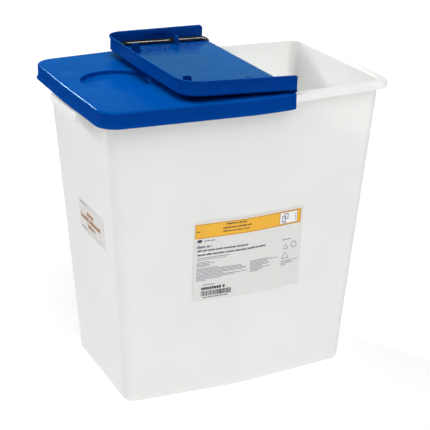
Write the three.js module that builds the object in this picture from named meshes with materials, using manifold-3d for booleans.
// Large-volume sharps container, about 45 litres: a tapered white tub with bowed long walls,
// and a blue snap-on lid in two halves. The right half is a flap on a living hinge, and it is
// modelled folded back on top of the fixed half.
// Millimetres. X runs along the long side, Y towards the back, Z up; the origin is at the
// middle of the tub's base.

import * as THREE from 'three';
import { mergeVertices } from 'three/addons/utils/BufferGeometryUtils.js';
import Module from 'manifold-3d';

const wasm = await Module();
wasm.setup();

// ---------------------------------------------------------------- driving dimensions

// A plan outline is a rounded rectangle whose four sides are bowed outwards to a point.
// halfWidth and halfDepth are at the corners, bow is added at the middle of the long sides
// and sideBow at the middle of the short ones.
const BASE_OUTLINE = { halfWidth: 185.8, halfDepth: 106.4, bow: 13, sideBow: 0, radius: 19 };
const MOUTH_OUTLINE = { halfWidth: 218.1, halfDepth: 133.9, bow: 16, sideBow: 1.5, radius: 19 };
const RIM_OUTLINE = { halfWidth: 228.5, halfDepth: 147.2, bow: 16, sideBow: 2.5, radius: 26 };
const SKIRT_CLEARANCE = 1.8;
const SHELL = 2.1;
const LID_OUTLINE = inset(RIM_OUTLINE, -(SKIRT_CLEARANCE + SHELL));

// Tub
const RIM_TOP = 472;
const WALL = 3.2;
const FLOOR = 3.5;
const FLANGE = 3;
const LIP_HEIGHT = 10.3;
const LIP = 2.5;
const BASE_EDGE_RADIUS = 5;
const FLOOR_EDGE_RADIUS = 9;
const RIM_EDGE_RADIUS = 2.5;
const MOUTH_EDGE_RADIUS = 2;

// Finger grips, one in the middle of each short side, below the lid's skirt
const GRIP_HALF_LENGTH = 54;
const GRIP_OUT = 238.5;
const GRIP_TOP = 450.5;
const GRIP_BOTTOM = 439.5;
const GRIP_SHELL = 2.5;
const GRIP_CORNER = 6;

// Lid
const LID_TOP = 476.5;
const PANEL = 2.5;
const SKIRT_HEIGHT = 23.2;
const LID_EDGE_RADIUS = 3.5;
const FLARE = 2;
const FLARE_HEIGHT = 4;
const FLARE_FOOT = 1.5;
const SKIRT_END_RADIUS = 5;

// Round recess in the fixed half
const RECESS = { x: -154, y: 2, radius: 52, depth: 7, edge: 2 };

// Hinge between the halves: its axis runs along Y, just above the lid's top face
const HINGE_X = 59;
const HINGE_Z = 478.3;
const HINGE_GAP = 2.2;
const FOLDED_BACK = THREE.MathUtils.degToRad(178.2);
const WEB = 0.9;
const WEB_HALF_LENGTH = 156;

// Snap lugs on the inner faces of the skirts, which hook under the tub's lip
const LUG = { x: 145, length: 40, height: 7.2, ramp: 2.9, proud: 1.4, foot: 0.6 };

// Fins on the flap's inner face, which keep the gasket in place and enter the tub's mouth
const FIN = { root: 17, tip: 11.5, height: 14, thickness: 3, lean: 1.3, corner: 2 };
const SIDE_FIN = { x: 121, y: 136.2 };
const END_FIN = { x: 211, y: 98 };

// Gaskets: distances are from the middle of the tub, along each half of the lid
const GASKET_RADIUS = 4;
const GASKET_SIDE = 141;
const GASKET_END = 219.5;
const GASKET_BEND = 22;
const GASKET_START = 62;
const PRESSED_START = -50;
const PRESSED_WIDTH = 9;
const PRESSED_THICKNESS = 1.4;

// Labels: left, right, bottom and top edges on the wall
const FRONT_LABEL = { from: -86, to: 93, bottom: 158, top: 289 };
const TAMPER_SEAL = { from: -85.5, to: 89.5, bottom: 262, top: 285.5 };
const SIDE_LABEL = { from: -72, to: 32, bottom: 241, top: 291 };
const FILM = 0.35;

// Clearance between pieces that touch, and how far joined shapes reach into each other
const GAP = 0.3;
const OVERLAP = 1;

const ARC_STEPS = 8;
const EDGE_STEPS = 3;
const RECESS_STEPS = 36;
const CORD_STEPS = 64;

// ---------------------------------------------------------------- outlines and lofts

function inset(outline, distance) {
  return {
    ...outline,
    halfWidth: outline.halfWidth - distance,
    halfDepth: outline.halfDepth - distance,
    radius: Math.max(outline.radius - distance, 2),
  };
}

// The tub's outer wall in plan at height z
function wallAt(z) {
  const share = z / RIM_TOP;
  const outline = {};
  for (const key of Object.keys(BASE_OUTLINE)) {
    outline[key] = THREE.MathUtils.lerp(BASE_OUTLINE[key], MOUTH_OUTLINE[key], share);
  }
  return outline;
}

// Points anticlockwise from the front left corner: every outline gives the same number
function outlinePoints({ halfWidth, halfDepth, bow, sideBow, radius }) {
  const corners = [
    new THREE.Vector2(-halfWidth, -halfDepth),
    new THREE.Vector2(halfWidth, -halfDepth),
    new THREE.Vector2(halfWidth, halfDepth),
    new THREE.Vector2(-halfWidth, halfDepth),
  ];
  const middles = [
    new THREE.Vector2(0, -halfDepth - bow),
    new THREE.Vector2(halfWidth + sideBow, 0),
    new THREE.Vector2(0, halfDepth + bow),
    new THREE.Vector2(-halfWidth - sideBow, 0),
  ];
  const points = [];
  corners.forEach((corner, i) => {
    const back = middles[(i + 3) % 4].clone().sub(corner).normalize();
    const ahead = middles[i].clone().sub(corner).normalize();
    const half = Math.acos(back.dot(ahead)) / 2;
    const towardsCentre = back.clone().add(ahead).normalize();
    const centre = corner.clone().addScaledVector(towardsCentre, radius / Math.sin(half));
    const start = corner.clone().addScaledVector(back, radius / Math.tan(half)).sub(centre);
    const turn = Math.PI - 2 * half;
    for (let step = 0; step <= ARC_STEPS; step += 1) {
      const arm = start.clone().rotateAround(new THREE.Vector2(), (turn * step) / ARC_STEPS);
      points.push(centre.clone().add(arm));
    }
    points.push(middles[i]);
  });
  return points;
}

// A closed skin through outlines at given heights, with a flat cap on the first and the last.
// It runs up outer faces and down inner ones.
function loft(levels) {
  const rings = levels.map(({ outline }) => outlinePoints(outline));
  const count = rings[0].length;
  const positions = [];
  rings.forEach((ring, i) => ring.forEach((p) => positions.push(p.x, p.y, levels[i].z)));
  const firstCentre = rings.length * count;
  const lastCentre = firstCentre + 1;
  positions.push(0, 0, levels[0].z);
  positions.push(0, 0, levels[levels.length - 1].z);
  const index = [];
  for (let k = 0; k < count; k += 1) {
    const next = (k + 1) % count;
    index.push(firstCentre, next, k);
    for (let i = 0; i + 1 < rings.length; i += 1) {
      const low = i * count;
      const high = low + count;
      index.push(low + k, low + next, high + next);
      index.push(low + k, high + next, high + k);
    }
    const last = (rings.length - 1) * count;
    index.push(lastCentre, last + k, last + next);
  }
  const geometry = new THREE.BufferGeometry();
  geometry.setAttribute('position', new THREE.Float32BufferAttribute(positions, 3));
  geometry.setIndex(index);
  return geometry;
}

// Angles of a quarter circle
function quarterAngles() {
  return Array.from({ length: EDGE_STEPS + 1 }, (_, k) => (k / EDGE_STEPS) * (Math.PI / 2));
}

// ---------------------------------------------------------------- solids

function solid(geometry) {
  const bare = geometry.clone();
  bare.deleteAttribute('normal');
  bare.deleteAttribute('uv');
  const merged = mergeVertices(bare, 1e-4);
  return new wasm.Manifold(new wasm.Mesh({
    numProp: 3,
    vertProperties: merged.attributes.position.array,
    triVerts: new Uint32Array(merged.index.array),
  }));
}

function geometryOf(manifold) {
  const made = manifold.getMesh();
  const geometry = new THREE.BufferGeometry();
  geometry.setAttribute('position', new THREE.BufferAttribute(made.vertProperties, 3));
  geometry.setIndex(new THREE.BufferAttribute(made.triVerts, 1));
  return geometry;
}

// A profile drawn with X across and Z up, extruded along Y and centred on y = 0
function extrudedAlongY(shape, length, curveSegments = EDGE_STEPS) {
  const options = { depth: length, bevelEnabled: false, curveSegments };
  const geometry = new THREE.ExtrudeGeometry(shape, options);
  geometry.translate(0, 0, -length / 2);
  geometry.rotateX(Math.PI / 2);
  return geometry;
}

// ---------------------------------------------------------------- tub

function tubShell() {
  const levels = [];
  for (const angle of quarterAngles()) {
    const z = BASE_EDGE_RADIUS * (1 - Math.cos(angle));
    levels.push({ outline: inset(wallAt(z), BASE_EDGE_RADIUS * (1 - Math.sin(angle))), z });
  }
  const underFlange = RIM_TOP - FLANGE;
  const lipBottom = RIM_TOP - LIP_HEIGHT;
  levels.push({ outline: wallAt(underFlange), z: underFlange });
  levels.push({ outline: inset(RIM_OUTLINE, LIP), z: underFlange });
  levels.push({ outline: inset(RIM_OUTLINE, LIP), z: lipBottom });
  levels.push({ outline: RIM_OUTLINE, z: lipBottom });
  for (const angle of quarterAngles()) {
    const across = RIM_EDGE_RADIUS * (1 - Math.cos(angle));
    const z = RIM_TOP - RIM_EDGE_RADIUS * (1 - Math.sin(angle));
    levels.push({ outline: inset(RIM_OUTLINE, across), z });
  }
  for (const angle of quarterAngles()) {
    const across = WALL - MOUTH_EDGE_RADIUS * (1 - Math.sin(angle));
    const z = RIM_TOP - MOUTH_EDGE_RADIUS * (1 - Math.cos(angle));
    levels.push({ outline: inset(wallAt(z), across), z });
  }
  for (const angle of quarterAngles()) {
    const across = WALL + FLOOR_EDGE_RADIUS * (1 - Math.cos(angle));
    const z = FLOOR + FLOOR_EDGE_RADIUS * (1 - Math.sin(angle));
    levels.push({ outline: inset(wallAt(z), across), z });
  }
  return solid(loft(levels));
}

// The lip steps out under the lid's skirt and turns down again, which leaves room for fingers
function gripSolid() {
  const lipInside = RIM_OUTLINE.halfWidth - LIP;
  const section = new THREE.Shape();
  section.moveTo(lipInside, GRIP_TOP - GRIP_SHELL);
  section.lineTo(GRIP_OUT - GRIP_SHELL, GRIP_TOP - GRIP_SHELL);
  section.lineTo(GRIP_OUT - GRIP_SHELL, GRIP_BOTTOM);
  section.lineTo(GRIP_OUT, GRIP_BOTTOM);
  section.lineTo(GRIP_OUT, GRIP_TOP - GRIP_SHELL);
  section.absarc(GRIP_OUT - GRIP_SHELL, GRIP_TOP - GRIP_SHELL, GRIP_SHELL, 0, Math.PI / 2, false);
  section.lineTo(RIM_OUTLINE.halfWidth + RIM_OUTLINE.sideBow / 2, GRIP_TOP);
  section.lineTo(RIM_OUTLINE.halfWidth + RIM_OUTLINE.sideBow / 2, RIM_TOP - FLANGE);
  section.lineTo(lipInside, RIM_TOP - FLANGE);
  section.closePath();
  const bar = solid(extrudedAlongY(section, 2 * GRIP_HALF_LENGTH));

  // Seen from the end of the tub, the grip's lower corners are round
  const face = new THREE.Shape();
  face.moveTo(-GRIP_HALF_LENGTH, RIM_TOP);
  face.lineTo(-GRIP_HALF_LENGTH, GRIP_BOTTOM + GRIP_CORNER);
  face.absarc(-GRIP_HALF_LENGTH + GRIP_CORNER, GRIP_BOTTOM + GRIP_CORNER, GRIP_CORNER,
    Math.PI, 1.5 * Math.PI, false);
  face.absarc(GRIP_HALF_LENGTH - GRIP_CORNER, GRIP_BOTTOM + GRIP_CORNER, GRIP_CORNER,
    1.5 * Math.PI, 2 * Math.PI, false);
  face.lineTo(GRIP_HALF_LENGTH, RIM_TOP);
  face.closePath();
  const trim = extrudedAlongY(face, 2 * GRIP_OUT);
  trim.rotateZ(Math.PI / 2);
  return bar.intersect(solid(trim));
}

function tubGeometry() {
  const right = gripSolid();
  const left = right.mirror([1, 0, 0]);
  return geometryOf(tubShell().add(right).add(left));
}

// ---------------------------------------------------------------- lid

const PANEL_UNDERSIDE = LID_TOP - PANEL;
const SKIRT_BOTTOM = LID_TOP - SKIRT_HEIGHT;

// Both halves as one closed cap, before they are cut apart
function lidCap() {
  const inside = inset(LID_OUTLINE, SHELL);
  const levels = [
    { outline: inside, z: PANEL_UNDERSIDE },
    { outline: inside, z: SKIRT_BOTTOM + FLARE_FOOT + FLARE_HEIGHT },
    { outline: inset(inside, -FLARE), z: SKIRT_BOTTOM },
    { outline: inset(LID_OUTLINE, -FLARE), z: SKIRT_BOTTOM },
    { outline: inset(LID_OUTLINE, -FLARE), z: SKIRT_BOTTOM + FLARE_FOOT },
    { outline: LID_OUTLINE, z: SKIRT_BOTTOM + FLARE_FOOT + FLARE_HEIGHT },
  ];
  for (const angle of quarterAngles()) {
    const across = LID_EDGE_RADIUS * (1 - Math.cos(angle));
    const z = LID_TOP - LID_EDGE_RADIUS * (1 - Math.sin(angle));
    levels.push({ outline: inset(LID_OUTLINE, across), z });
  }
  return solid(loft(levels));
}

// Everything to the left of x = edge, with the skirt's lower corner rounded off
function leftOf(edge) {
  const reach = 2 * LID_OUTLINE.halfWidth;
  const shape = new THREE.Shape();
  shape.moveTo(-reach, 0);
  shape.lineTo(edge - SKIRT_END_RADIUS, 0);
  shape.absarc(edge - SKIRT_END_RADIUS, SKIRT_BOTTOM + SKIRT_END_RADIUS, SKIRT_END_RADIUS,
    -Math.PI / 2, 0, false);
  shape.lineTo(edge, LID_TOP + PANEL);
  shape.lineTo(-reach, LID_TOP + PANEL);
  shape.closePath();
  return solid(extrudedAlongY(shape, reach));
}

// Lugs on the inner faces of the front and back skirts, centred at x
function lugs(x) {
  const section = new THREE.Shape();
  section.moveTo(-OVERLAP, 0);
  section.lineTo(LUG.proud / 2, 0);
  section.lineTo(LUG.proud, LUG.ramp);
  section.lineTo(LUG.proud, LUG.height);
  section.lineTo(-OVERLAP, LUG.height);
  section.closePath();
  const bar = extrudedAlongY(section, LUG.length);
  bar.rotateZ(-Math.PI / 2);
  const slope = LID_OUTLINE.bow / LID_OUTLINE.halfWidth;
  const inner = inset(LID_OUTLINE, SHELL);
  const y = inner.halfDepth + inner.bow * (1 - Math.abs(x) / inner.halfWidth);
  const bars = [1, -1].map((side) => {
    const one = bar.clone();
    if (side < 0) one.rotateZ(Math.PI);
    one.rotateZ(-side * Math.sign(x) * Math.atan(slope));
    one.translate(x, side * y, SKIRT_BOTTOM + LUG.foot);
    return solid(one);
  });
  return bars[0].add(bars[1]);
}

function fixedLidGeometry() {
  const { x, y, radius, depth, edge } = RECESS;
  const bottom = LID_TOP - depth;
  const bowl = [
    new THREE.Vector2(0, bottom),
    new THREE.Vector2(radius - edge, bottom),
    new THREE.Vector2(radius, bottom + edge),
    new THREE.Vector2(radius, LID_TOP - edge / 2),
    new THREE.Vector2(radius + edge / 2, LID_TOP),
    new THREE.Vector2(radius + edge / 2, LID_TOP + edge),
    new THREE.Vector2(0, LID_TOP + edge),
  ];
  const dish = [
    new THREE.Vector2(0, bottom - PANEL),
    new THREE.Vector2(radius, bottom - PANEL),
    new THREE.Vector2(radius + PANEL, bottom),
    new THREE.Vector2(radius + PANEL, LID_TOP - PANEL / 2),
    new THREE.Vector2(0, LID_TOP - PANEL / 2),
  ];
  const turned = (profile) => {
    const geometry = new THREE.LatheGeometry(profile, RECESS_STEPS);
    geometry.rotateX(Math.PI / 2);
    geometry.translate(x, y, 0);
    return solid(geometry);
  };
  const half = lidCap().intersect(leftOf(HINGE_X - HINGE_GAP));
  return geometryOf(half.add(turned(dish)).subtract(turned(bowl)).add(lugs(-LUG.x)));
}

// A flat fin that hangs from the panel. Its outer edge is at the origin and faces +X,
// and it narrows towards its tip.
function fin() {
  const bottom = -FIN.height;
  const shoulder = bottom + FIN.corner;
  const outerTip = -FIN.lean;
  const innerTip = outerTip - FIN.tip;
  const share = (FIN.height - FIN.corner) / FIN.height;
  const outerShoulder = outerTip * share;
  const innerShoulder = THREE.MathUtils.lerp(-FIN.root, innerTip, share);
  const shape = new THREE.Shape();
  shape.moveTo(0, OVERLAP);
  shape.lineTo(-FIN.root, OVERLAP);
  shape.lineTo(-FIN.root, 0);
  shape.lineTo(innerShoulder, shoulder);
  shape.quadraticCurveTo(innerTip, bottom, innerTip + FIN.corner, bottom);
  shape.lineTo(outerTip - FIN.corner, bottom);
  shape.quadraticCurveTo(outerTip, bottom, outerShoulder, shoulder);
  shape.lineTo(0, 0);
  shape.closePath();
  return extrudedAlongY(shape, FIN.thickness);
}

// The flap in its closed place
function flapSolid() {
  const cutter = leftOf(-HINGE_X - HINGE_GAP).mirror([1, 0, 0]);
  let flap = lidCap().intersect(cutter).add(lugs(LUG.x));
  for (const side of [1, -1]) {
    const sideFin = fin();
    sideFin.rotateZ(side * Math.PI / 2);
    sideFin.translate(SIDE_FIN.x, side * SIDE_FIN.y, PANEL_UNDERSIDE);
    const endFin = fin();
    endFin.translate(END_FIN.x, side * END_FIN.y, PANEL_UNDERSIDE);
    flap = flap.add(solid(sideFin)).add(solid(endFin));
  }
  return flap;
}

// ---------------------------------------------------------------- hinge web and gaskets

// A thin strip bent round the hinge axis, from the fixed half's edge up to the folded flap's
function livingHingeGeometry() {
  const legEnd = HINGE_X - HINGE_GAP + GAP;
  const middle = HINGE_GAP;
  const outer = middle + WEB / 2;
  const inner = middle - WEB / 2;
  const shape = new THREE.Shape();
  shape.moveTo(legEnd, HINGE_Z - outer);
  shape.absarc(HINGE_X, HINGE_Z, outer, -Math.PI / 2, Math.PI / 2, false);
  shape.lineTo(legEnd, HINGE_Z + outer);
  shape.lineTo(legEnd, HINGE_Z + inner);
  shape.absarc(HINGE_X, HINGE_Z, inner, Math.PI / 2, -Math.PI / 2, true);
  shape.lineTo(legEnd, HINGE_Z - inner);
  shape.closePath();
  return extrudedAlongY(shape, 2 * WEB_HALF_LENGTH, ARC_STEPS);
}

// A U in plan, open towards the hinge, as 3-D points at height z
function gasketRoute(z) {
  const corner = new THREE.Vector2(GASKET_END - GASKET_BEND, GASKET_SIDE - GASKET_BEND);
  const half = [new THREE.Vector2(GASKET_START, GASKET_SIDE)];
  half.push(new THREE.Vector2((GASKET_START + corner.x) / 2, GASKET_SIDE));
  for (const angle of quarterAngles()) {
    const arm = new THREE.Vector2(Math.sin(angle), Math.cos(angle)).multiplyScalar(GASKET_BEND);
    half.push(corner.clone().add(arm));
  }
  const front = half.map((p) => new THREE.Vector3(p.x, -p.y, z));
  const back = half.map((p) => new THREE.Vector3(p.x, p.y, z)).reverse();
  return [...front, ...back];
}

// The round cord in the flap's closed place
function flapGasketGeometry() {
  const route = gasketRoute(PANEL_UNDERSIDE - GAP - GASKET_RADIUS);
  const path = new THREE.CatmullRomCurve3(route, false, 'centripetal');
  const section = new THREE.Shape();
  section.absarc(0, 0, GASKET_RADIUS, 0, 2 * Math.PI, false);
  const options = {
    steps: CORD_STEPS, bevelEnabled: false, extrudePath: path, curveSegments: 5,
  };
  return new THREE.ExtrudeGeometry(section, options);
}

// The fixed half's cord, squeezed flat between its panel and the tub's rim
function fixedGasketGeometry() {
  const offset = (side) => {
    const bend = GASKET_BEND + side * (PRESSED_WIDTH / 2);
    const corner = new THREE.Vector2(GASKET_END - GASKET_BEND, GASKET_SIDE - GASKET_BEND);
    const half = [new THREE.Vector2(PRESSED_START, corner.y + bend)];
    for (const angle of quarterAngles()) {
      half.push(corner.clone().add(new THREE.Vector2(Math.sin(angle), Math.cos(angle))
        .multiplyScalar(bend)));
    }
    return half;
  };
  const mirrored = (points) => points.map((p) => new THREE.Vector2(p.x, -p.y)).reverse();
  const outer = offset(1);
  const inner = offset(-1);
  const loop = [...outer, ...mirrored(outer), ...mirrored(inner).reverse(), ...inner.reverse()];
  const shape = new THREE.Shape(loop.map((p) => new THREE.Vector2(-p.x, p.y)));
  const options = { depth: PRESSED_THICKNESS, bevelEnabled: false };
  const geometry = new THREE.ExtrudeGeometry(shape, options);
  geometry.translate(0, 0, RIM_TOP + GAP);
  return geometry;
}

// ---------------------------------------------------------------- labels

// A thin film on a wall. place(along, z, out) gives a point that far out from the wall.
function film(stops, bottom, top, out, place) {
  const points = [];
  for (const depth of [out, out + FILM]) {
    for (const z of [bottom, top]) {
      for (const along of stops) points.push(place(along, z, depth));
    }
  }
  const n = stops.length;
  const at = (layer, row, column) => layer * 2 * n + row * n + column;
  const index = [];
  const quad = (a, b, c, d) => index.push(a, b, c, a, c, d);
  for (let k = 0; k + 1 < n; k += 1) {
    quad(at(1, 0, k), at(1, 0, k + 1), at(1, 1, k + 1), at(1, 1, k));
    quad(at(0, 0, k + 1), at(0, 0, k), at(0, 1, k), at(0, 1, k + 1));
    quad(at(0, 0, k), at(0, 0, k + 1), at(1, 0, k + 1), at(1, 0, k));
    quad(at(1, 1, k), at(1, 1, k + 1), at(0, 1, k + 1), at(0, 1, k));
  }
  quad(at(0, 0, 0), at(1, 0, 0), at(1, 1, 0), at(0, 1, 0));
  quad(at(1, 0, n - 1), at(0, 0, n - 1), at(0, 1, n - 1), at(1, 1, n - 1));
  const geometry = new THREE.BufferGeometry().setFromPoints(points);
  geometry.setIndex(index);
  return geometry;
}

function onFrontWall(x, z, out) {
  const wall = wallAt(z);
  const y = wall.halfDepth + wall.bow * (1 - Math.abs(x) / wall.halfWidth);
  return new THREE.Vector3(x, -y - out, z);
}

function onLeftWall(y, z, out) {
  const wall = wallAt(z);
  const x = wall.halfWidth + wall.sideBow * (1 - Math.abs(y) / wall.halfDepth);
  return new THREE.Vector3(-x - out, y, z);
}

function frontFilm(edges, out) {
  return film([edges.from, 0, edges.to], edges.bottom, edges.top, out, onFrontWall);
}

// On the left wall the film runs from back to front, so that it faces outwards
function sideFilm(edges, out) {
  return film([edges.to, 0, edges.from], edges.bottom, edges.top, out, onLeftWall);
}

// ---------------------------------------------------------------- assembly

const WHITE = { color: 0xeef0ef, roughness: 0.45, metalness: 0 };
const BLUE = { color: 0x0a4da8, roughness: 0.35, metalness: 0 };
const BLACK = { color: 0x161616, roughness: 0.25, metalness: 0 };
const PAPER = { color: 0xf4f4f4, roughness: 0.6, metalness: 0 };
const ORANGE = { color: 0xf2b443, roughness: 0.55, metalness: 0 };

function named(name, geometry, finish) {
  const mesh = new THREE.Mesh(geometry, new THREE.MeshStandardMaterial(finish));
  mesh.name = name;
  return mesh;
}

// The flap and its gasket are drawn closed, then swung open about the hinge axis
function foldedFlap() {
  const flap = new THREE.Group();
  flap.position.set(HINGE_X, 0, HINGE_Z);
  flap.rotation.y = -FOLDED_BACK;
  const pieces = [
    named('lid_flap', geometryOf(flapSolid()), BLUE),
    named('flap_gasket', flapGasketGeometry(), BLACK),
  ];
  for (const piece of pieces) {
    piece.position.set(-HINGE_X, 0, -HINGE_Z);
    flap.add(piece);
  }
  return flap;
}

const container = new THREE.Group();
container.add(
  named('tub', tubGeometry(), WHITE),
  named('fixed_lid', fixedLidGeometry(), BLUE),
  named('fixed_gasket', fixedGasketGeometry(), BLACK),
  named('living_hinge', livingHingeGeometry(), BLUE),
  foldedFlap(),
  named('front_label', frontFilm(FRONT_LABEL, GAP), PAPER),
  named('tamper_seal', frontFilm(TAMPER_SEAL, GAP + FILM + GAP), ORANGE),
  named('side_label', sideFilm(SIDE_LABEL, GAP), PAPER),
);

export default container;
